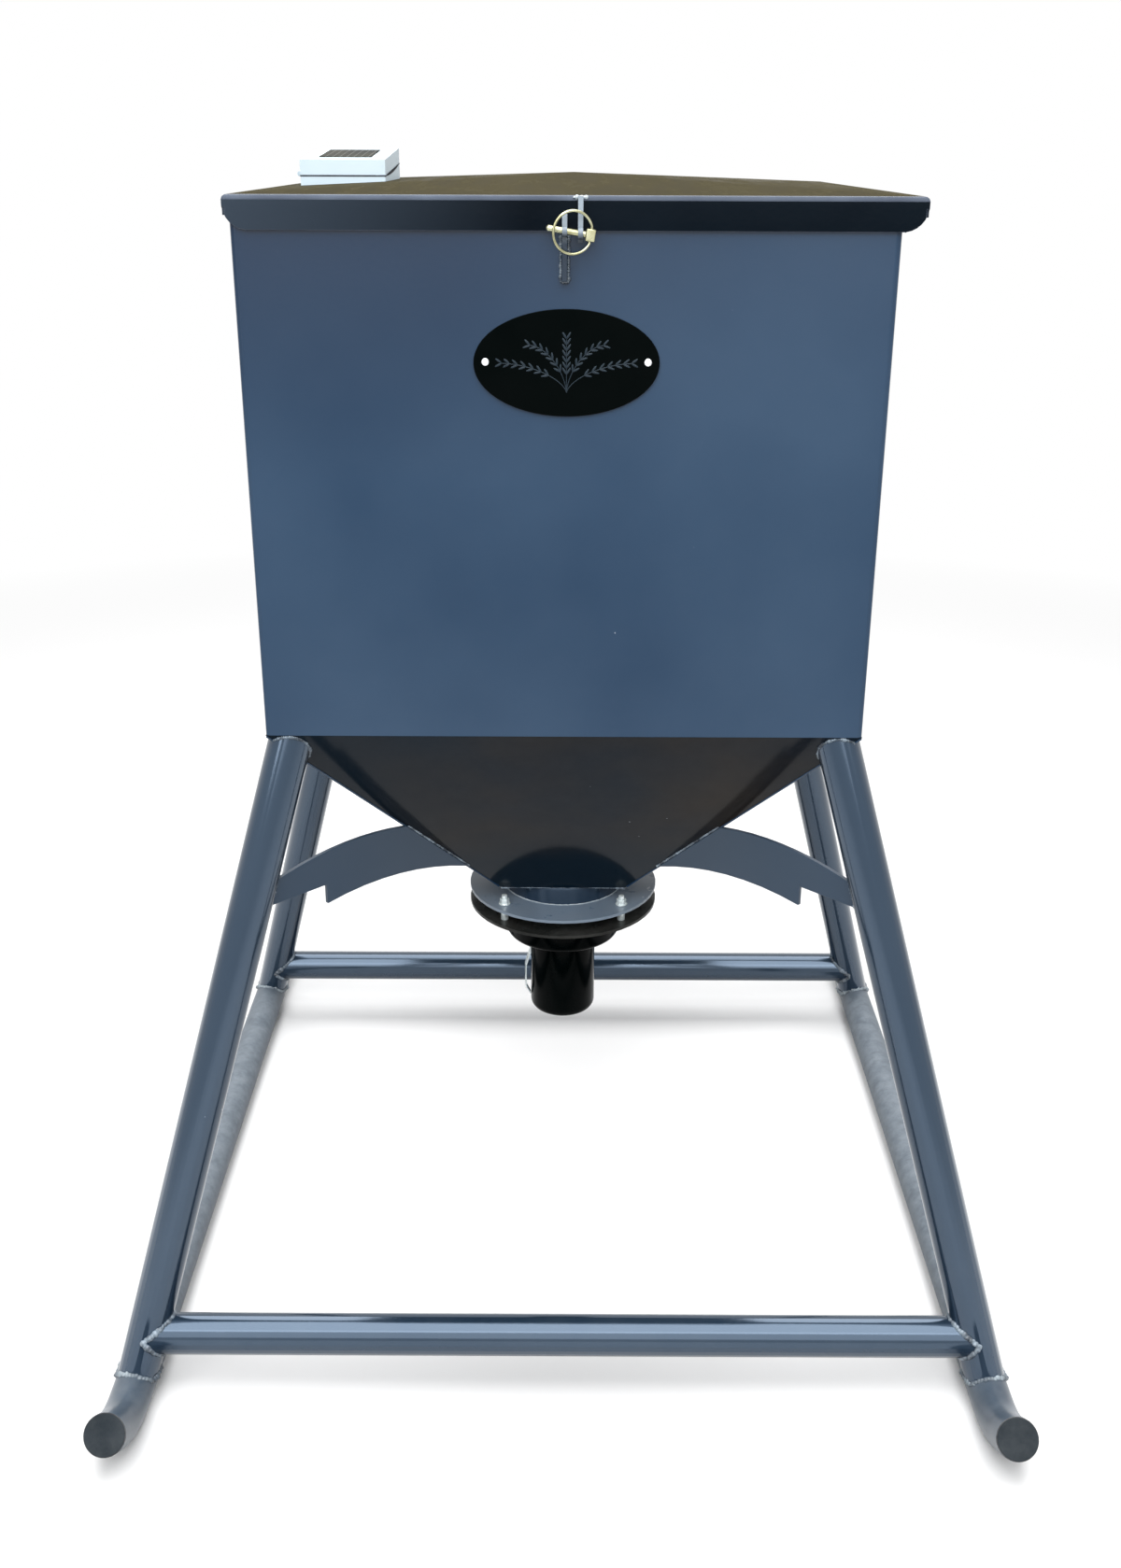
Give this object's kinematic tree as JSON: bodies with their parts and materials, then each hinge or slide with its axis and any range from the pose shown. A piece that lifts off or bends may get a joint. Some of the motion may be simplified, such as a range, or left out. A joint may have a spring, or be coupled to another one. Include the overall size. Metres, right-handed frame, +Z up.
{
  "type": "spin feeder",
  "caption": "Square sheet-steel hopper feeder on splayed pipe legs and skids, with a hinged latched lid, a small solar control box and a motor-driven spinner under the outlet.",
  "frame": {"origin": "on the ground under the middle of the hopper, half way between the skids", "axes": "+Z up, +X to the viewer's right when facing the name plate, and the front with the name plate and the latch faces -Y"},
  "size_m": [1.348, 1.5412, 1.7632],
  "materials": {
    "blue_grey_paint": "semi-gloss paint with fine orange peel",
    "dark_lid_paint": "high gloss paint",
    "black_gloss_paint": "high gloss paint",
    "zinc_plate": "bright zinc plate",
    "yellow_zinc": "yellow zinc plate",
    "white_plastic": "satin moulded plastic",
    "grey_plastic": "matte moulded plastic",
    "black_rubber": "matte pipe plug",
    "solar_glass": "glossy cover over solar cells"
  },
  "bodies": {
    "frame": {"skid_left": "blue_grey_paint", "skid_right": "blue_grey_paint", "skid_cap_front_left": "black_rubber", "skid_cap_front_right": "black_rubber", "skid_cap_rear_left": "black_rubber", "skid_cap_rear_right": "black_rubber", "leg_front_left": "blue_grey_paint", "leg_front_right": "blue_grey_paint", "leg_rear_left": "blue_grey_paint", "leg_rear_right": "blue_grey_paint", "rail_front": "blue_grey_paint", "rail_rear": "blue_grey_paint", "brace_front_left": "blue_grey_paint", "brace_front_right": "blue_grey_paint", "brace_rear_left": "blue_grey_paint", "brace_rear_right": "blue_grey_paint", "hopper_wall_front": "blue_grey_paint", "hopper_wall_rear": "blue_grey_paint", "hopper_wall_left": "blue_grey_paint", "hopper_wall_right": "blue_grey_paint", "hopper_slope_front": "blue_grey_paint", "hopper_slope_rear": "blue_grey_paint", "hopper_slope_left": "blue_grey_paint", "hopper_slope_right": "blue_grey_paint", "outlet_collar": "blue_grey_paint", "outlet_flange": "blue_grey_paint", "feed_funnel": "zinc_plate", "motor_plate": "black_gloss_paint", "motor_drum": "black_gloss_paint", "motor_can": "black_gloss_paint", "can_clip": "zinc_plate", "motor": "zinc_plate", "bolt_front_left": "zinc_plate", "bolt_front_right": "zinc_plate", "bolt_rear_left": "zinc_plate", "bolt_rear_right": "zinc_plate", "nut_front_left": "zinc_plate", "nut_front_right": "zinc_plate", "nut_rear_left": "zinc_plate", "nut_rear_right": "zinc_plate", "spacer_front_left": "zinc_plate", "spacer_front_right": "zinc_plate", "spacer_rear_left": "zinc_plate", "spacer_rear_right": "zinc_plate", "hopper_tab": "blue_grey_paint", "name_plate": "black_gloss_paint", "lid_hinge_fixed_left": "blue_grey_paint", "lid_hinge_fixed_right": "blue_grey_paint"},
    "lid": {"lid": "dark_lid_paint", "lid_tab": "blue_grey_paint", "lid_hinge_moving_left": "dark_lid_paint", "lid_hinge_moving_right": "dark_lid_paint", "control_box_base": "white_plastic", "timer_unit": "grey_plastic"},
    "control_cover": {"control_box_cover": "white_plastic", "solar_panel": "solar_glass"},
    "latch_pin": {"latch_pin": "yellow_zinc"},
    "latch_ring": {"latch_ring": "yellow_zinc"},
    "spinner": {"spinner": "zinc_plate", "motor_shaft": "zinc_plate"}
  },
  "joints": [
    {"name": "lid_hinge", "type": "hinge", "parent": "frame", "child": "lid", "pos_m": [0, 0.454, 1.6685], "axis": [-1, 0, 0], "range_deg": [0, 105]},
    {"name": "control_cover_hinge", "type": "hinge", "parent": "lid", "child": "control_cover", "pos_m": [-0.3786, -0.083, 1.728], "axis": [0, -0.9974, -0.0715], "range_deg": [0, 110]},
    {"name": "latch_pin_slide", "type": "slide", "parent": "lid", "child": "latch_pin", "axis": [0.9874, 0, -0.1582], "range_m": [0, 0.07]},
    {"name": "latch_ring_hinge", "type": "hinge", "parent": "latch_pin", "child": "latch_ring", "pos_m": [0.0298, -0.434, 1.6666], "axis": [0.1582, 0, 0.9874], "range_deg": [0, 150]},
    {"name": "spinner_turn", "type": "hinge", "parent": "frame", "child": "spinner", "pos_m": [0, 0, 0.566], "axis": [0, 0, 1], "continuous": true}
  ]
}
